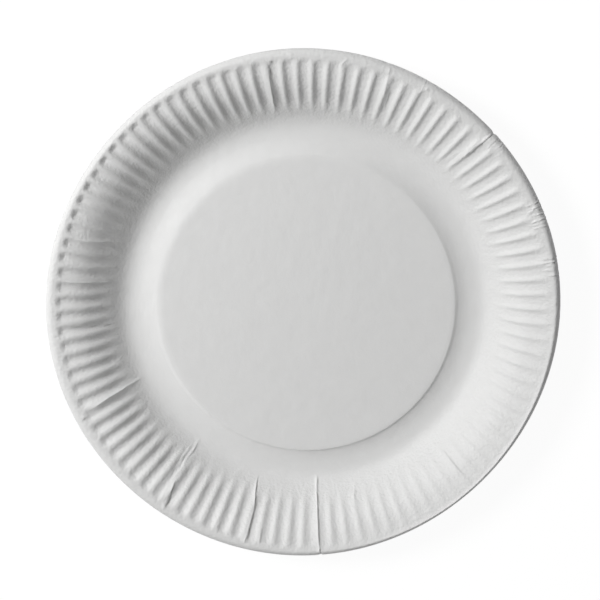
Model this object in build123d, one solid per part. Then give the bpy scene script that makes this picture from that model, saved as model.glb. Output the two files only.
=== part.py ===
from build123d import *
from math import asin, cos, degrees, radians, sin, tan
import os

# Round dinner plate pressed from one sheet of coated white board, in millimetres.
# The origin is on the table, under the plate's centre, and Z points up.
# From the centre outward, the sheet forms a raised flat disc, a round trough that
# the plate stands on, a steep wall, a band of radial flutes and a rolled-down lip.
# The smooth parts are revolved. The wall is one sector of flat facets for a flute,
# repeated about the axis, and the flat foot ring and crest ring join the two.

# Sizes of the whole plate
plate_diameter = 230.0
plate_height = 20.0
board_thickness = 0.5

# Lip rolled down at the edge, and the narrow flat ring along its crest
lip_radius = 3.6
lip_slope = 78.0
crest_width = 0.4

# Wall from the foot ring out to the crest ring, rounded at its foot and its shoulder
wall_width = 33.4
wall_slope = 47.0
outer_trough_radius = 12.0

# Flat ring that the plate stands on, and the trough's gentle rise inside it
foot_width = 2.0
inner_trough_width = 6.55
inner_trough_radius = 17.0

# Small step up to the raised disc
step_width = 1.6
step_slope = 28.7

# Flutes pressed into the wall, their depth being that at the inner end
flute_count = 100
flute_depth = 1.2
flute_inner_ramp = 3.0
flute_outer_ramp = 7.0
flute_end_inset = 0.4

# Number of straight pieces that stand for each rounded part of the section
inner_trough_facets = 2
outer_trough_facets = 4
shoulder_facets = 4
lip_facets = 4

# Places worked out from those sizes, from the edge inward
lip_start_radius = plate_diameter / 2 - lip_radius * sin(radians(lip_slope))
crest_radius = lip_start_radius - crest_width
foot_outer_radius = crest_radius - wall_width
foot_inner_radius = foot_outer_radius - foot_width
disc_radius = foot_inner_radius - inner_trough_width - step_width
trough_slope = degrees(asin(inner_trough_width / inner_trough_radius))
trough_rise = inner_trough_radius * (1 - cos(radians(trough_slope)))
disc_height = board_thickness + trough_rise + step_width * tan(radians(step_slope))

# The shoulder's radius is the one that brings the wall level at the crest
wall_rise = plate_height - board_thickness
wall_turn = radians(wall_slope)
both_radii = (wall_width * sin(wall_turn) - wall_rise * cos(wall_turn)) / (1 - cos(wall_turn))
shoulder_radius = both_radii - outer_trough_radius
shoulder_centre = (crest_radius, plate_height - shoulder_radius)
scoop_slope = degrees(asin(flute_end_inset / shoulder_radius))
bend_slope = scoop_slope + flute_outer_ramp
flute_pitch = 360.0 / flute_count
crest_angle = flute_pitch / 2


def inner_trough(slope, cover):
    """Point of the section on the trough's inner half, at a depth below the upper face."""
    reach = inner_trough_radius + cover
    turn = radians(slope)
    return (
        foot_inner_radius - reach * sin(turn),
        board_thickness + inner_trough_radius - reach * cos(turn),
    )


def outer_trough(slope, cover):
    """Point of the section on the trough's outer half, at a depth below the upper face."""
    reach = outer_trough_radius + cover
    turn = radians(slope)
    return (
        foot_outer_radius + reach * sin(turn),
        board_thickness + outer_trough_radius - reach * cos(turn),
    )


def shoulder(slope, cover):
    """Point of the section on the shoulder, at a depth below the upper face."""
    reach = shoulder_radius - cover
    turn = radians(slope)
    return (shoulder_centre[0] - reach * sin(turn), shoulder_centre[1] + reach * cos(turn))


def lip(slope, cover):
    """Point of the section on the rolled-down lip, at a depth below the upper face."""
    reach = lip_radius - cover
    turn = radians(slope)
    return (lip_start_radius + reach * sin(turn), plate_height - lip_radius + reach * cos(turn))


def rounded(point_at, start_slope, end_slope, facets, cover):
    """Points of the section along one rounded part, from one slope to another."""
    step = (end_slope - start_slope) / facets
    return [point_at(start_slope + step * number, cover) for number in range(facets + 1)]


def place(point, angle=0.0):
    """Point of the section turned to this angle round the plate's axis."""
    turn = radians(angle)
    return Vector(point[0] * cos(turn), point[0] * sin(turn), point[1])


def facet(*corners):
    return Face(Wire.make_polygon(corners, close=True))


def revolved(section):
    """Round faces that the section's straight pieces sweep about the axis."""
    return [
        Face.revolve(Edge.make_line(place(start), place(end)), 360, Axis.Z)
        for start, end in zip(section, section[1:])
    ]


def cornered_ring(point):
    """Closed line through this point of the section at the crest on each side of every flute."""
    corners = [place(point, crest_angle + flute_pitch * number) for number in range(flute_count)]
    return Wire.make_polygon(corners, close=True)


def round_ring(point):
    return Wire.make_circle(point[0], Plane.XY.offset(point[1]))


def strip(section):
    """One sector's flat facets along a stretch of the section that has no flute."""
    return [
        facet(
            place(start, -crest_angle),
            place(end, -crest_angle),
            place(end, crest_angle),
            place(start, crest_angle),
        )
        for start, end in zip(section, section[1:])
    ]


def flute_crest(cover):
    """Section of one skin along the crest between two flutes."""
    bends = rounded(shoulder, wall_slope, bend_slope, shoulder_facets, cover)
    return [outer_trough(wall_slope, cover)] + bends + [shoulder(scoop_slope, cover)]


def on_shoulder_normal(start, target, slope):
    """Point where the line from start to target meets the shoulder's normal at a slope."""
    across, up = -sin(radians(slope)), cos(radians(slope))
    run, rise = target[0] - start[0], target[1] - start[1]
    gap_run, gap_rise = shoulder_centre[0] - start[0], shoulder_centre[1] - start[1]
    share = (gap_run * up - gap_rise * across) / (run * up - rise * across)
    return (start[0] + share * run, start[1] + share * rise)


def flute_valley(cover, crest):
    """Section of one skin along a flute's bottom.

    Each stretch aims at the point of the axis that the crest's stretch aims at, which
    makes the flank between the two flat.
    """
    foot = outer_trough(wall_slope, cover + flute_depth)
    ramp = (flute_inner_ramp * cos(wall_turn), flute_inner_ramp * sin(wall_turn))
    valley = [(foot[0] + ramp[0], foot[1] + ramp[1])]
    step = (bend_slope - wall_slope) / shoulder_facets
    for number in range(shoulder_facets + 1):
        low, high = crest[number], crest[number + 1]
        apex = (0, low[1] - low[0] * (high[1] - low[1]) / (high[0] - low[0]))
        valley.append(on_shoulder_normal(valley[-1], apex, wall_slope + step * number))
    return valley


def flank(crest, valley, angle):
    """Facets between a flute's valley and the crest at this angle."""
    stretches = zip(crest, crest[1:], valley[1:], valley)
    faces = [
        facet(place(low, angle), place(high, angle), place(deep_high), place(deep_low))
        for low, high, deep_high, deep_low in stretches
    ]
    return faces + [facet(place(crest[-2], angle), place(crest[-1], angle), place(valley[-1]))]


def flute(cover):
    """One sector's facets of a flute: two flanks, and a scooped triangle at each end."""
    crest = flute_crest(cover)
    valley = flute_valley(cover, crest)
    ends = [
        facet(place(crest[end], -crest_angle), place(crest[end], crest_angle), place(valley[end]))
        for end in (0, -1)
    ]
    return ends + flank(crest, valley, -crest_angle) + flank(crest, valley, crest_angle)


def wall_sector(cover):
    """One sector's facets of one skin, from the foot ring to the crest ring."""
    foot = rounded(outer_trough, 0, wall_slope, outer_trough_facets, cover)
    crest = [shoulder(scoop_slope, cover), shoulder(0, cover)]
    return strip(foot) + flute(cover) + strip(crest)


def skin(cover):
    """All the faces of one skin of the board, at this depth below the upper face."""
    disc_edge = (disc_radius - cover * tan(radians(step_slope / 2)), disc_height - cover)
    inner = rounded(inner_trough, trough_slope, 0, inner_trough_facets, cover)
    outer = rounded(lip, 0, lip_slope, lip_facets, cover)
    faces = [Face(round_ring(disc_edge))]
    faces += revolved([disc_edge] + inner) + revolved(outer)
    faces.append(Face(cornered_ring(outer_trough(0, cover)), [round_ring(inner[-1])]))
    faces.append(Face(round_ring(outer[0]), [cornered_ring(shoulder(0, cover))]))
    sector = wall_sector(cover)
    for number in range(flute_count):
        faces += [face.rotate(Axis.Z, number * flute_pitch) for face in sector]
    return faces


def plate():
    """Both skins and the cut edge of the board, sewn into one solid."""
    cut_edge = revolved([lip(lip_slope, 0), lip(lip_slope, board_thickness)])
    return Solid(Shell(skin(0) + skin(board_thickness) + cut_edge))


os.makedirs("parts", exist_ok=True)
plate_solid = plate()
print("solid valid:", plate_solid.is_valid, "volume mm3:", round(plate_solid.volume))
export_step(plate_solid, "parts/plate.step")
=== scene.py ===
import random
from bisect import bisect
from math import asin, atan2, cos, exp, floor, pi, radians, sin, sqrt, tan

import bmesh
import bpy
from mathutils import Matrix, Vector


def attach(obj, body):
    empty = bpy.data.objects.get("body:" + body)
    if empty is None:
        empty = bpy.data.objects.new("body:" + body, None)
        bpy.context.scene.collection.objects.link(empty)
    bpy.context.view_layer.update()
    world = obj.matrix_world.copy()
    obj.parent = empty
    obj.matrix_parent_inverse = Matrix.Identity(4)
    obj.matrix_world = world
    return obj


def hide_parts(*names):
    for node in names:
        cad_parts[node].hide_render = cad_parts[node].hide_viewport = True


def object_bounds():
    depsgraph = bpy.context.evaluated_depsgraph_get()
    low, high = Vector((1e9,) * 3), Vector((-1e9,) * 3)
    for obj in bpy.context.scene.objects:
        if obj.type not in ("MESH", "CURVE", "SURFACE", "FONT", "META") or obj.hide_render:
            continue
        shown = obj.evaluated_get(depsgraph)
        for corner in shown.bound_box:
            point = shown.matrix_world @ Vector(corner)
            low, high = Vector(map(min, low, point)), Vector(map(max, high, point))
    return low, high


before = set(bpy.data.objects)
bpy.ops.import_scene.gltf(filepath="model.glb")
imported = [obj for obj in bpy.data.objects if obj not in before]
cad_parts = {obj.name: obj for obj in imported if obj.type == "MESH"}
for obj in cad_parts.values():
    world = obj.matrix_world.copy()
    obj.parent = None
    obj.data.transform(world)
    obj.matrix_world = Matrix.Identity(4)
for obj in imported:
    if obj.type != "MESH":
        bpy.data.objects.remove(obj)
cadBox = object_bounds()
cadTop = cadBox[1][2]
mm = 0.001

# the pressed section, with the same sizes as the solid but for the height, which leaves
# room under the solid's 20 mm for the folds
plateSizes = {
    "radius": 115.0 * mm,
    "height": 19.6 * mm,
    "thickness": 0.5 * mm,
    "lipRadius": 3.6 * mm,
    "lipSlope": radians(78),
    "crestWidth": 0.4 * mm,
    "wallWidth": 33.4 * mm,
    "wallSlope": radians(47),
    "outerTroughRadius": 12.0 * mm,
    "footWidth": 2.0 * mm,
    "innerTroughWidth": 6.55 * mm,
    "innerTroughRadius": 17.0 * mm,
    "stepWidth": 1.6 * mm,
    "stepSlope": radians(28.7),
    "spinSteps": 1000,
    "mergeDistance": 0.001 * mm,
}


def sectionPlaces(sizes):
    # radii and heights where the parts of the pressed section meet
    s = dict(sizes)
    s["lipStart"] = s["radius"] - s["lipRadius"] * sin(s["lipSlope"])
    s["crest"] = s["lipStart"] - s["crestWidth"]
    s["footOuter"] = s["crest"] - s["wallWidth"]
    s["footInner"] = s["footOuter"] - s["footWidth"]
    s["stepEnd"] = s["footInner"] - s["innerTroughWidth"]
    s["disc"] = s["stepEnd"] - s["stepWidth"]
    s["troughSlope"] = asin(s["innerTroughWidth"] / s["innerTroughRadius"])
    s["stepFoot"] = s["thickness"] + s["innerTroughRadius"] * (1 - cos(s["troughSlope"]))
    s["discHeight"] = s["stepFoot"] + s["stepWidth"] * tan(s["stepSlope"])
    rise, slope = s["height"] - s["thickness"], s["wallSlope"]
    bothRadii = (s["wallWidth"] * sin(slope) - rise * cos(slope)) / (1 - cos(slope))
    s["shoulderRadius"] = bothRadii - s["outerTroughRadius"]
    s["wallStart"] = s["footOuter"] + s["outerTroughRadius"] * sin(slope)
    s["wallEnd"] = s["crest"] - s["shoulderRadius"] * sin(slope)
    return s


section = sectionPlaces(plateSizes)


def sectionAt(radius):
    # height and slope of the upper face at a distance from the axis, before the flutes
    p = section
    if radius <= p["disc"]:
        return p["discHeight"], 0.0
    if radius <= p["stepEnd"]:
        return p["stepFoot"] + (p["stepEnd"] - radius) * tan(p["stepSlope"]), -p["stepSlope"]
    if radius <= p["footInner"]:
        slope = asin((p["footInner"] - radius) / p["innerTroughRadius"])
        return p["thickness"] + p["innerTroughRadius"] * (1 - cos(slope)), -slope
    if radius <= p["footOuter"]:
        return p["thickness"], 0.0
    if radius <= p["wallStart"]:
        slope = asin((radius - p["footOuter"]) / p["outerTroughRadius"])
        return p["thickness"] + p["outerTroughRadius"] * (1 - cos(slope)), slope
    if radius <= p["wallEnd"]:
        start = p["thickness"] + p["outerTroughRadius"] * (1 - cos(p["wallSlope"]))
        return start + (radius - p["wallStart"]) * tan(p["wallSlope"]), p["wallSlope"]
    if radius <= p["crest"]:
        slope = asin((p["crest"] - radius) / p["shoulderRadius"])
        return p["height"] - p["shoulderRadius"] * (1 - cos(slope)), slope
    if radius <= p["lipStart"]:
        return p["height"], 0.0
    slope = asin(min(1.0, (radius - p["lipStart"]) / p["lipRadius"]))
    return p["height"] - p["lipRadius"] * (1 - cos(slope)), -slope


def evenly(start, end, count):
    # places between two radii, without the last
    return [start + (end - start) * number / count for number in range(count)]


ringSizes = {
    "flatEnd": 35.0 * mm,  # the disc has no rings inside this one
    "softReach": 5.2 * mm,  # how far inside the disc's edge its rings start
    "bend": 0.25 * mm,  # how far to each side of a sharp turn its rings lie
    "scoop": 3.6 * mm,  # how far inside the crest the flutes' outer ends start
    "lipRings": 7,
}


def sectionRadii():
    # distances from the axis of the rings of vertices, closer where the section turns
    p, r = section, ringSizes
    stretches = [  # where each stretch of rings starts, and its number of rings
        (r["flatEnd"], 0),
        (p["disc"] - r["softReach"], 3),
        (p["disc"] - r["bend"], 5),
        (p["stepEnd"] + r["bend"], 5),
        (p["footInner"], 1),
        (p["footOuter"], 5),
        (p["wallStart"], 6),
        (p["wallEnd"], 5),
        (p["crest"] - r["scoop"], 9),
        (p["lipStart"], 0),
    ]
    radii = [r["flatEnd"]]
    for (start, count), (end, _) in zip(stretches, stretches[1:]):
        radii += evenly(start, end, count)
    slopes = evenly(0, p["lipSlope"], r["lipRings"]) + [p["lipSlope"]]
    return radii + [p["lipStart"] + p["lipRadius"] * sin(slope) for slope in slopes]


def smoothStep(value):
    value = max(0.0, min(1.0, value))
    return value * value * (3 - 2 * value)


def turnTo(angle, target):
    # the shorter turn from one direction to another
    return (target - angle + pi) % (2 * pi) - pi


fluteSizes = {
    "count": 100,
    "firstValley": radians(2.52),  # where the first flute's bottom lies
    "offCentre": radians(0.24),  # turn of the flutes on one side, and back on the other
    "offDirection": radians(80),
    "depth": 1.15 * mm,
    "ridgeTop": 0.05,  # half the ridge's round top, and its flank, in flutes across
    "ridgeFlank": 0.29,
    "flankSwing": 0.09,  # how much wider the flanks are towards one direction than on average
    "flankDirection": radians(200),
    "bowlShare": 0.15,  # share of the depth that is a shallow bowl across the flute
    "bowlSwing": 0.1,  # how much larger that share is towards the same direction
    "innerStart": 85.5 * mm,  # where a flute starts and where it has its full depth
    "innerFull": 95.0 * mm,
    "outerEnd": 110.8 * mm,
    "outerRamp": 3.2 * mm,  # length over which the outer end rises out of the flute
    "scoopDepth": 0.42 * mm,  # how much deeper the outer ends are where they are scooped
    "scoopPlace": 107.9 * mm,
    "scoopWidth": 1.5 * mm,
    "scoopDirection": radians(146),
    "scoopReach": radians(42),
    "softRamp": 5.0 * mm,  # how much longer the outer ends are where they are softest
    "softDirection": radians(350),
    "softReach": radians(75),
    "endRoundness": 1.4 * mm,  # how much further in a flute ends beside its ridges
    "shallowSide": radians(311),  # where the flutes are shallowest
    "shallowReach": radians(50),
    "shallowShare": 0.8,
    "deepSide": radians(200),  # where they are deepest
    "deepShare": 0.05,
    "depthSpread": 0.10,  # how much a flute's depth and outer end vary by chance
    "endSpread": 0.35 * mm,
    "seed": 4,
}


def unevenFlutes():
    # each flute's share of the depth, and the shift of its outer end
    chance = random.Random(fluteSizes["seed"])
    spread, shift = fluteSizes["depthSpread"], fluteSizes["endSpread"]
    return [
        (1 + chance.uniform(-spread, spread), chance.uniform(-shift, shift))
        for number in range(fluteSizes["count"])
    ]


flutes = unevenFlutes()


def lobe(angle, direction, reach):
    # a smooth hump of 1 at one direction round the plate
    return exp(-(turnTo(angle, direction) / reach) ** 2)


def fluteTurn(angle):
    # place round the plate in flutes, a whole number being a flute's bottom
    f = fluteSizes
    shift = f["offCentre"] * cos(angle - f["offDirection"])
    return (angle - f["firstValley"] - shift) * f["count"] / (2 * pi)


def fluteDepthAt(radius, angle):
    # how far the upper face is pressed in at this place
    f = fluteSizes
    turn = fluteTurn(angle)
    number = floor(turn + 0.5)
    offset = turn - number  # from -0.5 to 0.5, a flute's bottom being 0
    depthShare, endShift = flutes[number % f["count"]]
    flank = f["ridgeFlank"] + f["flankSwing"] * cos(angle - f["flankDirection"])
    ridge = 1 - smoothStep((0.5 - abs(offset) - f["ridgeTop"]) / flank)
    bowlShare = f["bowlShare"] + f["bowlSwing"] * cos(angle - f["flankDirection"])
    across = 1 - (1 - bowlShare) * ridge - bowlShare * sin(pi * offset) ** 2
    inner = smoothStep((radius - f["innerStart"]) / (f["innerFull"] - f["innerStart"]))
    end = f["outerEnd"] + endShift - f["endRoundness"] * (2 * abs(offset)) ** 2
    ramp = f["outerRamp"] + f["softRamp"] * lobe(angle, f["softDirection"], f["softReach"])
    outer = smoothStep((end - radius) / ramp)
    share = 1 - f["shallowShare"] * lobe(angle, f["shallowSide"], f["shallowReach"])
    share *= 1 + f["deepShare"] * cos(angle - f["deepSide"])
    scoop = exp(-((radius - f["scoopPlace"]) / f["scoopWidth"]) ** 2)
    scoop *= f["scoopDepth"] * lobe(angle, f["scoopDirection"], f["scoopReach"])
    return (f["depth"] * share * depthShare + scoop) * across * inner * outer


edgeSizes = {
    "start": 108.5 * mm,
    "inset": 1.26 * mm,  # the edge's mean radius is this much less than the round plate's
    "waves": [  # times round the edge, height, direction of the first crest
        (1, 0.78 * mm, radians(154)),
        (2, 1.2 * mm, radians(40)),
        (4, 0.3 * mm, radians(4)),
    ],
}


def edgeShift(radius, angle):
    # how far the lip spreads at this place, since a pressed plate isn't truly round
    e = edgeSizes
    share = smoothStep((radius - e["start"]) / (section["radius"] - e["start"]))
    waves = sum(height * cos(times * (angle - crest)) for times, height, crest in e["waves"])
    return share * (waves - e["inset"])


sagSizes = {
    "start": 86.0 * mm,
    "end": 112.5 * mm,
    "lobes": [  # depth, direction, reach to each side
        (2.4 * mm, radians(338), radians(76)),
        (0.8 * mm, radians(187), radians(35)),
    ],
}


def sagAt(radius, angle):
    # how far the shoulder is flattened at this place, which tips the rim inward there
    g = sagSizes
    along = max(0.0, min(1.0, (radius - g["start"]) / (g["end"] - g["start"])))
    depth = sum(deep * lobe(angle, direction, reach) for deep, direction, reach in g["lobes"])
    return depth * along * sin(pi * along)


stepSizes = {
    "edgeShift": 0.5 * mm,  # how far the disc's edge lies off the plate's centre
    "edgeDirection": radians(330),
    "footShift": 0.5 * mm,  # and the step's foot
    "footDirection": radians(60),
    "softStart": 66.0 * mm,  # where an even slope starts on the side that has no crisp step
    "softPower": 1.2,  # 1 for a straight slope, and more for one that levels out at its foot
    "softShare": 0.85,
    "softDirection": radians(150),
    "softReach": radians(75),
}


def stepPlace(radius, angle):
    # place of the disc's edge, its step and the trough, which aren't quite round
    t, height = stepSizes, sectionAt(radius)[0]
    drop, span = section["discHeight"] - section["thickness"], section["footInner"] - t["softStart"]
    left = max(0.0, min(1.0, (section["footInner"] - radius) / span))
    even = section["thickness"] + drop * left ** t["softPower"]
    height += (even - height) * t["softShare"] * lobe(angle, t["softDirection"], t["softReach"])
    edge = t["edgeShift"] * cos(angle - t["edgeDirection"])
    foot = t["footShift"] * cos(angle - t["footDirection"])
    if radius < section["disc"]:
        shift = edge * radius / section["disc"]
    elif radius < section["stepEnd"]:
        shift = edge + (foot - edge) * (radius - section["disc"]) / section["stepWidth"]
    else:
        shift = foot * (section["footInner"] - radius) / section["innerTroughWidth"]
    outward = radius + shift
    return Vector((cos(angle) * outward, sin(angle) * outward, height))


def foldAlong(path, height, width, notch=0.0, crease=0.0):
    # a fold pinched up in the board, its path in (degrees, millimetres from the axis): its
    # height, the width over which it falls away to each side, the notch that it makes in the
    # edge, and a crease beside it, above 0 on its side towards larger angles
    return {"path": path, "height": height, "width": width, "notch": notch, "crease": crease}


folds = [
    foldAlong([(43.2, 119), (43.6, 108), (43.8, 98)], 0.85, 0.32, notch=0.9, crease=-0.4),
    foldAlong([(43.9, 108), (45.3, 99), (46.2, 90)], 0.35, 0.35),
    foldAlong([(60.4, 119), (61.0, 109)], 0.22, 0.35, notch=0.2),
    foldAlong([(68.6, 110.5), (68.3, 104), (68.1, 94)], 0.35, 0.3, crease=-0.28),
    foldAlong([(70.1, 114), (69.6, 106), (69.0, 99)], 0.22, 0.35),
    foldAlong([(71.0, 119), (70.8, 112.5)], 0.24, 0.3, notch=0.4, crease=-0.1),
    foldAlong([(79.3, 113), (82.0, 104)], 0.25, 0.35),
    foldAlong([(92.3, 119), (92.1, 109)], 0.22, 0.35, notch=0.1),
    foldAlong([(96.5, 111.5), (97.5, 106), (98.2, 88)], 0.35, 0.3, crease=-0.25),
    foldAlong([(124.5, 94.5), (124.9, 88)], 0.25, 0.3),
    foldAlong([(163.6, 106), (162.4, 95), (161.3, 87)], 0.4, 0.3),
    foldAlong([(174.0, 107), (173.6, 88)], 0.36, 0.3),
    foldAlong([(186.9, 112), (185.2, 103.6), (185.5, 95), (186.5, 86)], 0.25, 0.35, crease=0.15),
    foldAlong([(207.5, 112.5), (206.9, 106), (206.1, 99)], 0.4, 0.36, crease=0.3),
    foldAlong([(206.3, 106), (205.6, 96), (205.3, 83)], 0.42, 0.48),
    foldAlong([(204.5, 97), (204.1, 86)], 0.22, 0.3),
    foldAlong([(235.9, 112.5), (235.4, 106), (234.2, 98)], 0.5, 0.4, crease=0.5),
    foldAlong(
        [(234.2, 102), (233.3, 97), (233.9, 93), (233.0, 89.5), (233.7, 86), (232.9, 81)],
        0.62, 0.3, crease=0.1,
    ),
    foldAlong(
        [(233.3, 102), (232.2, 96), (232.7, 92.5), (231.9, 88.5), (232.3, 84)],
        0.54, 0.28, crease=0.1,
    ),
    foldAlong([(256.5, 111.5), (256.9, 96), (255.9, 89.5), (255.0, 84)], 0.45, 0.34, crease=0.35),
    foldAlong([(260.1, 110), (259.9, 103.5)], 0.2, 0.3, crease=0.2),
    foldAlong([(274.5, 119), (274.3, 97), (274.1, 86), (274.2, 81)], 0.6, 0.32, notch=0.8, crease=0.25),
    foldAlong([(284.7, 93), (285.3, 89.3), (286.1, 85)], 0.25, 0.35, crease=0.1),
    foldAlong([(314.5, 109), (314.4, 91)], 0.2, 0.3, crease=0.15),
    foldAlong([(348.9, 111), (350.3, 102)], 0.18, 0.3),
    foldAlong([(24.8, 113.5), (22.9, 103.5)], 0.35, 0.35, crease=-0.1),
]
rimFans = [  # short wrinkles side by side across the rim, between two directions in degrees
    {"start": 20.0, "end": 25.4, "count": 7, "height": 0.48},
    {"start": 8.9, "end": 12.5, "count": 5, "height": 0.38},
    {"start": 38.6, "end": 42.2, "count": 5, "height": 0.2},
    {"start": 59.2, "end": 62.0, "count": 4, "height": 0.18},
]
wrinkleSizes = {
    "outer": 118,  # past the edge, so that the wrinkles run out over it
    "inner": (106.5, 109.5),  # their inner ends lie between these
    "stray": 0.25,  # how far a wrinkle lies off its even place, in gaps between wrinkles
    "lean": 0.5,  # how far its inner end lies to one side at most, in degrees
    "heightShare": (0.6, 1.3),
    "width": (0.28, 0.4),
    "notchShare": 1 / 2,  # notch and crease as shares of the height
    "creaseShare": 1 / 3,
    "seed": 7,
}


def rimWrinkles():
    # the rim's wrinkles as folds of uneven height and length
    w, made = wrinkleSizes, []
    chance = random.Random(w["seed"])
    for fan in rimFans:
        gap = (fan["end"] - fan["start"]) / (fan["count"] - 1)
        for number in range(fan["count"]):
            at = fan["start"] + gap * (number + chance.uniform(-w["stray"], w["stray"]))
            inner, lean = chance.uniform(*w["inner"]), chance.uniform(-w["lean"], w["lean"])
            height = fan["height"] * chance.uniform(*w["heightShare"])
            width = chance.uniform(*w["width"])
            path = [(at, w["outer"]), (at + lean, inner)]
            notch, crease = height * w["notchShare"], -height * w["creaseShare"]
            made.append(foldAlong(path, height, width, notch, crease))
    return made


folds += rimWrinkles()
foldSizes = {
    "fade": 2.2 * mm,  # length over which a fold rises at its ends
    "wobble": 0.10 * mm,  # how far a fold's line strays to each side
    "wave": 3.3 * mm,  # length of the line's waves
    "wavePhase": 50,  # makes the waves start elsewhere on each fold
    "rippleShare": 0.6,  # smaller waves on the waves
    "rippleRate": 2.3,
    "uneven": 0.25,  # how much a fold's height varies along it
    "unevenWave": 5.61 * mm,
    "unevenPhase": 9000,
    "cutOff": 7,  # how far to the side a fold ends, in widths of the fold
    "creasePlace": 1.3,  # where its crease lies and how wide it is, in widths too
    "creaseWidth": 0.7,
    "notchWidth": 2,  # and how wide its notch is
    "notchRamp": 2.0 * mm,  # length over which a notch starts outside the crest
    "fullHighlightRise": 0.4 * mm,  # rise at which a fold's ridge gets its full painted highlight
    "fullShadeCrease": 0.3,  # depth in millimetres at which a crease gets its full painted shade
    "strainRamp": 10.0 * mm,  # how far outside the foot ring the board is fully crinkled
    "ringMargin": 0.05 * mm,  # vertices this close to a ring belong to it
}
meshSizes = {
    "reach": 2.4 * mm,  # how far to each side the columns are drawn towards a fold
    "pull": 0.6,  # 0 leaves them evenly spaced, and more than 0 draws them in
    "fullShare": 0.5,  # share of a fold's height at which they are fully drawn in
    "ridgeRamp": 6.0 * mm,  # length over which they are drawn towards the flutes' ridges
    "fanStart": 106.0 * mm,  # from here out the mesh is cut finer across the fans
    "fanMargin": radians(0.6),
    "levelWithin": 0.01 * mm,  # largest drop of an edge that counts as running round the rim
}


def foldAngle(fold, radius):
    # direction of the fold's line at this distance from the axis
    points = [(radians(degrees), distance * mm) for degrees, distance in fold["path"]]
    f = foldSizes
    turn = 2 * pi * radius / f["wave"] + points[0][0] * f["wavePhase"]
    stray = f["wobble"] * (sin(turn) + f["rippleShare"] * sin(f["rippleRate"] * turn)) / radius
    if radius >= points[0][1]:
        return points[0][0] + stray
    for (outerAngle, outer), (innerAngle, inner) in zip(points, points[1:]):
        if radius >= inner:
            share = (radius - inner) / (outer - inner)
            return innerAngle + (outerAngle - innerAngle) * share + stray
    return points[-1][0] + stray


def foldShare(fold, radius):
    # share of its height that a fold has at this distance from the axis
    f = foldSizes
    outer, inner = fold["path"][0][1] * mm, fold["path"][-1][1] * mm
    turn = 2 * pi * radius / f["unevenWave"] + outer * f["unevenPhase"]
    ends = smoothStep((outer - radius) / f["fade"]) * smoothStep((radius - inner) / f["fade"])
    return (1 + f["uneven"] * sin(turn)) * ends


def foldsAcross(radius):
    # the folds that cross a ring of vertices, with their share and direction there
    shares = [(fold, foldShare(fold, radius), foldAngle(fold, radius)) for fold in folds]
    return [entry for entry in shares if entry[1] > 0]


rings = sectionRadii()
ringFolds = [foldsAcross(radius) for radius in rings]


def drawnTowards(offset, reach):
    # a place drawn in towards a line, more strongly the nearer it is
    share = min(1.0, abs(offset) / reach)
    return offset * share ** meshSizes["pull"]


def columnAngle(radius, angle, nearFolds):
    # direction of a vertex, once the mesh is denser along the ridges and the folds
    m = meshSizes
    pitch = 2 * pi / fluteSizes["count"]
    offset = (fluteTurn(angle) % 1 - 0.5) * pitch
    drawn = drawnTowards(offset, pitch / 2)
    angle += (drawn - offset) * smoothStep((radius - section["footOuter"]) / m["ridgeRamp"])
    for _, share, line in nearFolds:
        offset = -turnTo(angle, line) * radius
        if abs(offset) < m["reach"]:
            drawn = drawnTowards(offset, m["reach"])
            angle += (drawn - offset) / radius * smoothStep(share / m["fullShare"])
    return angle


def foldRise(radius, angle, nearFolds):
    # how far the folds lift the board here, the depth of a crease, which also sets its painted shade,
    # and the pull on the edge
    f, rise, crease, pullIn = foldSizes, 0.0, 0.0, 0.0
    for fold, share, line in nearFolds:
        across = -turnTo(angle, line) * radius / (fold["width"] * mm)
        if abs(across) < f["cutOff"]:
            rise += fold["height"] * mm * share * exp(-abs(across))
            beside = across if fold["crease"] > 0 else -across
            near = exp(-((beside - f["creasePlace"]) / f["creaseWidth"]) ** 2)
            groove = abs(fold["crease"]) * share * near
            rise -= groove * mm
            crease += groove
            pullIn += fold["notch"] * mm * share * exp(-(across / f["notchWidth"]) ** 2)
    return rise, crease, pullIn * smoothStep((radius - section["crest"]) / f["notchRamp"])


def pressedPlace(point):
    # place, painted light of the folds (a painted highlight on their ridges, and below 0 a painted
    # shade in a crease) and strain of a vertex of the spun section
    f = foldSizes
    radius = sqrt(point.x * point.x + point.y * point.y)
    if radius < section["footInner"] - f["ringMargin"]:
        return stepPlace(radius, atan2(point.y, point.x)), 0.0, 0.0
    strain = smoothStep((radius - section["footOuter"]) / f["strainRamp"])
    nearFolds = ringFolds[bisect(rings, radius - f["ringMargin"])]
    angle = columnAngle(radius, atan2(point.y, point.x), nearFolds)
    height, slope = sectionAt(radius)
    rise, crease, pullIn = foldRise(radius, angle, nearFolds)
    depth = fluteDepthAt(radius, angle) - rise
    outward = radius + depth * sin(slope) + edgeShift(radius, angle) - pullIn
    height = min(height - depth * cos(slope) - sagAt(radius, angle), cadTop)
    place = Vector((cos(angle) * outward, sin(angle) * outward, height))
    # a painted highlight that grows with a fold's rise, less a painted shade that grows with its
    # crease's depth
    paintedFoldLight = max(-1.0, min(1.0, rise / f["fullHighlightRise"] - crease / f["fullShadeCrease"]))
    return place, paintedFoldLight, strain


def inFan(edge):
    # whether an edge runs round the rim within one of the fans
    m, start, end = meshSizes, edge.verts[0].co, edge.verts[1].co
    radius = sqrt(start.x * start.x + start.y * start.y)
    if radius < m["fanStart"] or abs(start.z - end.z) > m["levelWithin"]:
        return False
    angle, margin = atan2(start.y + end.y, start.x + end.x), m["fanMargin"]
    spans = [(radians(fan["start"]) - margin, radians(fan["end"]) + margin) for fan in rimFans]
    return any(first < angle < last for first, last in spans)


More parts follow.
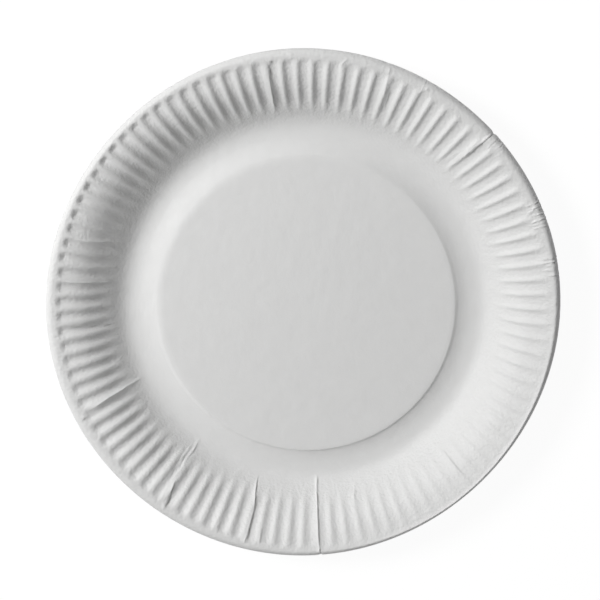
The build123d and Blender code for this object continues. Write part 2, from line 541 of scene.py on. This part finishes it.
def buildPlate():
    mesh = bpy.data.meshes.new("paper_plate")
    bm = bmesh.new()
    last = bm.verts.new((0, 0, section["discHeight"]))
    for radius in rings:
        vertex = bm.verts.new((radius, 0, sectionAt(radius)[0]))
        bm.edges.new((last, vertex))
        last = vertex
    bmesh.ops.spin(
        bm, geom=bm.verts[:] + bm.edges[:], cent=(0, 0, 0), axis=(0, 0, 1),
        angle=2 * pi, steps=plateSizes["spinSteps"], use_merge=True,
    )
    bmesh.ops.remove_doubles(bm, verts=bm.verts[:], dist=plateSizes["mergeDistance"])
    fanEdges = [edge for edge in bm.edges if inFan(edge)]
    bmesh.ops.subdivide_edges(bm, edges=fanEdges, cuts=1)
    # the folds' painted light: a highlight on their ridges, a shade in their creases
    bm.verts.layers.float.new("fold_painted_light")
    bm.verts.layers.float.new("strain")
    paintedFoldLight, strain = bm.verts.layers.float["fold_painted_light"], bm.verts.layers.float["strain"]
    for vertex in bm.verts:
        vertex.co, vertex[paintedFoldLight], vertex[strain] = pressedPlace(vertex.co)
    bmesh.ops.recalc_face_normals(bm, faces=bm.faces[:])
    bm.normal_update()
    if sum(face.normal.z for face in bm.faces) < 0:
        bmesh.ops.reverse_faces(bm, faces=bm.faces[:])
    for face in bm.faces:
        face.smooth = True
    bm.to_mesh(mesh)
    bm.free()
    piece = bpy.data.objects.new("paper_plate", mesh)
    bpy.context.collection.objects.link(piece)
    board = piece.modifiers.new("Board", "SOLIDIFY")
    board.thickness = plateSizes["thickness"]
    board.offset = -1
    board.material_offset = 1
    board.material_offset_rim = 1
    print("plate: pressed,", len(mesh.polygons), "faces on the upper side")
    return piece


effects = ("Fibre", "Cloud", "Crinkle")
noiseDetail = 3


def noiseBump(nodes, links, given, name, mask=None):
    # a bump of one size of noise, faded by a mask where one is given
    noise, bump = nodes.new("ShaderNodeTexNoise"), nodes.new("ShaderNodeBump")
    noise.inputs["Detail"].default_value = noiseDetail
    links.new(given.outputs["Place"], noise.inputs["Vector"])
    links.new(given.outputs[name + " Scale"], noise.inputs["Scale"])
    links.new(given.outputs[name + " Height"], bump.inputs["Distance"])
    height = noise.outputs["Fac"]
    if mask:
        faded = nodes.new("ShaderNodeMath")
        faded.operation = "MULTIPLY"
        links.new(height, faded.inputs[0])
        links.new(mask, faded.inputs[1])
        height = faded.outputs[0]
    links.new(height, bump.inputs["Height"])
    return noise.outputs["Fac"], bump


def reliefGroup():
    # the board's fibres, clouds and crinkles: a surface normal, and the clouds as a mask
    group = bpy.data.node_groups.new("board_relief", "ShaderNodeTree")
    face = group.interface
    face.new_socket("Place", in_out="INPUT", socket_type="NodeSocketVector")
    face.new_socket("Strain", in_out="INPUT", socket_type="NodeSocketFloat")
    for effect in effects:
        face.new_socket(effect + " Scale", in_out="INPUT", socket_type="NodeSocketFloat")
        face.new_socket(effect + " Height", in_out="INPUT", socket_type="NodeSocketFloat")
    face.new_socket("Clouds", in_out="OUTPUT", socket_type="NodeSocketFloat")
    face.new_socket("Normal", in_out="OUTPUT", socket_type="NodeSocketVector")
    nodes, links = group.nodes, group.links
    given, result = nodes.new("NodeGroupInput"), nodes.new("NodeGroupOutput")
    clouds, cloudBump = noiseBump(nodes, links, given, "Cloud")
    _, crinkleBump = noiseBump(nodes, links, given, "Crinkle", given.outputs["Strain"])
    _, fibreBump = noiseBump(nodes, links, given, "Fibre")
    links.new(cloudBump.outputs["Normal"], crinkleBump.inputs["Normal"])
    links.new(crinkleBump.outputs["Normal"], fibreBump.inputs["Normal"])
    links.new(clouds, result.inputs["Clouds"])
    links.new(fibreBump.outputs["Normal"], result.inputs["Normal"])
    return group


coatedLook = {
    "lightColour": (0.815, 0.815, 0.808, 1),
    "darkColour": (0.785, 0.785, 0.780, 1),
    # painted highlight on the folds' ridges
    "ridgeHighlightColour": (0.86, 0.86, 0.855, 1),
    # painted shade in the folds' creases
    "creaseShadeColour": (0.60, 0.60, 0.59, 1),
    "roughness": 0.52,
    "specular": 0.4,
    "fibreScale": 1500.0,
    "fibreHeight": 0.000015,
    "cloudScale": 150.0,
    "cloudHeight": 0.00026,
    "crinkleScale": 800.0,
    "crinkleHeight": 0.00032,
}
rawLook = {
    "lightColour": (0.80, 0.79, 0.76, 1),
    # painted highlight on the folds' ridges
    "darkColour": (0.72, 0.71, 0.68, 1),
    # painted shade in the folds' creases
    "ridgeHighlightColour": (0.84, 0.83, 0.81, 1),
    "creaseShadeColour": (0.52, 0.51, 0.48, 1),
    "roughness": 0.85,
    "specular": 0.15,
    "fibreScale": 1100.0,
    "fibreHeight": 0.00004,
    "cloudScale": 140.0,
    "cloudHeight": 0.0001,
    "crinkleScale": 420.0,
    "crinkleHeight": 0.0001,
}


firstColour, secondColour, mixedColour = 6, 7, 2  # the Mix node's colour sockets


def colourMix(nodes, links, mask, first, second):
    # a mix of two colours by a mask, the first being a socket or a plain colour
    mix = nodes.new("ShaderNodeMix")
    mix.data_type = "RGBA"
    links.new(mask, mix.inputs[0])
    if isinstance(first, tuple):
        mix.inputs[firstColour].default_value = first
    else:
        links.new(first, mix.inputs[firstColour])
    mix.inputs[secondColour].default_value = second
    return mix.outputs[mixedColour]


def makeBoard(name, look, relief):
    material = bpy.data.materials.new(name)
    material.use_nodes = True
    nodes, links = material.node_tree.nodes, material.node_tree.links
    shader = nodes["Principled BSDF"]
    shader.inputs["Roughness"].default_value = look["roughness"]
    shader.inputs["Specular IOR Level"].default_value = look["specular"]
    coordinates = nodes.new("ShaderNodeTexCoord")
    surface = nodes.new("ShaderNodeGroup")
    surface.node_tree = relief
    for effect in effects:
        surface.inputs[effect + " Scale"].default_value = look[effect.lower() + "Scale"]
        surface.inputs[effect + " Height"].default_value = look[effect.lower() + "Height"]
    # the folds' painted light, and the strain that crinkles the board
    paintedFoldLight, strain = nodes.new("ShaderNodeAttribute"), nodes.new("ShaderNodeAttribute")
    paintedFoldLight.attribute_name, strain.attribute_name = "fold_painted_light", "strain"
    links.new(strain.outputs["Fac"], surface.inputs["Strain"])
    links.new(coordinates.outputs["Object"], surface.inputs["Place"])
    # painted shade in the creases, from where the folds' painted light is below 0
    under = nodes.new("ShaderNodeMath")
    under.operation = "MULTIPLY"
    under.inputs[1].default_value = -1
    links.new(paintedFoldLight.outputs["Fac"], under.inputs[0])
    clouds, dark, light = surface.outputs["Clouds"], look["darkColour"], look["lightColour"]
    colour = colourMix(nodes, links, clouds, dark, light)
    # painted highlight on the folds' ridges
    colour = colourMix(nodes, links, paintedFoldLight.outputs["Fac"], colour, look["ridgeHighlightColour"])
    # painted shade in the folds' creases
    colour = colourMix(nodes, links, under.outputs[0], colour, look["creaseShadeColour"])
    links.new(colour, shader.inputs["Base Color"])
    links.new(surface.outputs["Normal"], shader.inputs["Normal"])
    print("material:", name)
    return material


def seenDirectly(nodes, links):
    # a mask that is 1 where the camera, a gloss or a clear thing sees the surface
    path = nodes.new("ShaderNodeLightPath")
    either, anyOf = nodes.new("ShaderNodeMath"), nodes.new("ShaderNodeMath")
    either.operation = anyOf.operation = "MAXIMUM"
    links.new(path.outputs["Is Camera Ray"], either.inputs[0])
    links.new(path.outputs["Is Glossy Ray"], either.inputs[1])
    links.new(either.outputs[0], anyOf.inputs[0])
    links.new(path.outputs["Is Transmission Ray"], anyOf.inputs[1])
    return anyOf.outputs[0]


floorLook = {
    "halfSize": 2.0,
    "colour": (0.80, 0.80, 0.80, 1),  # the floor as it lights the plate
    "seenColour": (0.09, 0.09, 0.09, 1),  # and as it is seen, near white with a faint shadow
    "seenGlow": 0.945,
}


def makeFloor():
    mesh = bpy.data.meshes.new("floor")
    bm = bmesh.new()
    bmesh.ops.create_grid(bm, x_segments=1, y_segments=1, size=floorLook["halfSize"])
    bm.to_mesh(mesh)
    bm.free()
    sheet = bpy.data.objects.new("floor", mesh)
    bpy.context.collection.objects.link(sheet)
    material = bpy.data.materials.new("pale_floor")
    material.use_nodes = True
    nodes, links = material.node_tree.nodes, material.node_tree.links
    nodes.clear()
    plain, shown = nodes.new("ShaderNodeBsdfDiffuse"), nodes.new("ShaderNodeBsdfDiffuse")
    plain.inputs["Color"].default_value = floorLook["colour"]
    shown.inputs["Color"].default_value = floorLook["seenColour"]
    glow = nodes.new("ShaderNodeEmission")
    glow.inputs["Strength"].default_value = floorLook["seenGlow"]
    both, choice = nodes.new("ShaderNodeAddShader"), nodes.new("ShaderNodeMixShader")
    output = nodes.new("ShaderNodeOutputMaterial")
    links.new(shown.outputs[0], both.inputs[0])
    links.new(glow.outputs[0], both.inputs[1])
    links.new(seenDirectly(nodes, links), choice.inputs["Fac"])
    links.new(plain.outputs[0], choice.inputs[1])
    links.new(both.outputs[0], choice.inputs[2])
    links.new(choice.outputs[0], output.inputs["Surface"])
    mesh.materials.append(material)
    print("floor: made")


lightSetup = {
    "lamps": [
        {
            "name": "window_light", "azimuth": radians(155), "elevation": radians(44),
            "distance": 1.25, "size": 0.45, "power": 12.0,
        },
        {
            "name": "fill_light", "azimuth": radians(92), "elevation": radians(24),
            "distance": 1.25, "size": 0.8, "power": 1.1,
        },
        {
            "name": "low_light", "azimuth": radians(240), "elevation": radians(30),
            "distance": 1.25, "size": 0.8, "power": 1.1,
        },
    ],
    "roomStrength": 0.16,
}


def makeLamp(setting):
    lamp = bpy.data.lights.new(setting["name"], "AREA")
    lamp.energy = setting["power"]
    lamp.shape = "DISK"
    lamp.size = setting["size"]
    light = bpy.data.objects.new(setting["name"], lamp)
    bpy.context.collection.objects.link(light)
    azimuth, elevation = setting["azimuth"], setting["elevation"]
    towards = Vector((cos(azimuth) * cos(elevation), sin(azimuth) * cos(elevation), sin(elevation)))
    light.location = towards * setting["distance"]
    light.rotation_euler = towards.to_track_quat("Z", "Y").to_euler()


def makeLights():
    for setting in lightSetup["lamps"]:
        makeLamp(setting)
    world = bpy.data.worlds.new("room")
    bpy.context.scene.world = world
    world.use_nodes = True
    nodes, links = world.node_tree.nodes, world.node_tree.links
    room = nodes["Background"]
    room.inputs["Color"].default_value = (1, 1, 1, 1)
    room.inputs["Strength"].default_value = lightSetup["roomStrength"]
    white = nodes.new("ShaderNodeBackground")
    white.inputs["Strength"].default_value = 1
    choice = nodes.new("ShaderNodeMixShader")
    links.new(seenDirectly(nodes, links), choice.inputs["Fac"])
    links.new(room.outputs[0], choice.inputs[1])
    links.new(white.outputs[0], choice.inputs[2])
    links.new(choice.outputs[0], nodes["World Output"].inputs["Surface"])
    print("lights: made")


cameraSetup = {
    "target": (-1.9 * mm, 1.45 * mm, 0),
    "distance": 700 * mm,
    "tilt": radians(10.40),  # away from straight down
    "azimuth": radians(62.67),
    "sensor": 36.0,
    "pixelsPerSensor": 600,
    "pixelsAtTarget": 2205.0,  # pixels that a metre at the target covers
}


def makeCamera():
    c = cameraSetup
    tilt, azimuth = c["tilt"], c["azimuth"]
    back = Vector((sin(tilt) * cos(azimuth), sin(tilt) * sin(azimuth), cos(tilt)))
    right = Vector((0, 1, 0)).cross(back).normalized()
    up = back.cross(right)
    lens = bpy.data.cameras.new("camera")
    lens.sensor_width = c["sensor"]
    lens.lens = c["pixelsAtTarget"] * c["distance"] / c["pixelsPerSensor"] * c["sensor"]
    camera = bpy.data.objects.new("camera", lens)
    bpy.context.collection.objects.link(camera)
    turn = Matrix((right, up, back)).transposed().to_4x4()
    camera.matrix_world = Matrix.Translation(Vector(c["target"]) + back * c["distance"]) @ turn
    bpy.context.scene.camera = camera
    print("camera: made")


plate = buildPlate()
relief = reliefGroup()
plate.data.materials.append(makeBoard("coated_board", coatedLook, relief))
plate.data.materials.append(makeBoard("raw_board", rawLook, relief))
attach(plate, "root")
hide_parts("plate")
makeFloor()
makeLights()
makeCamera()
bpy.context.scene.view_settings.view_transform = "Standard"
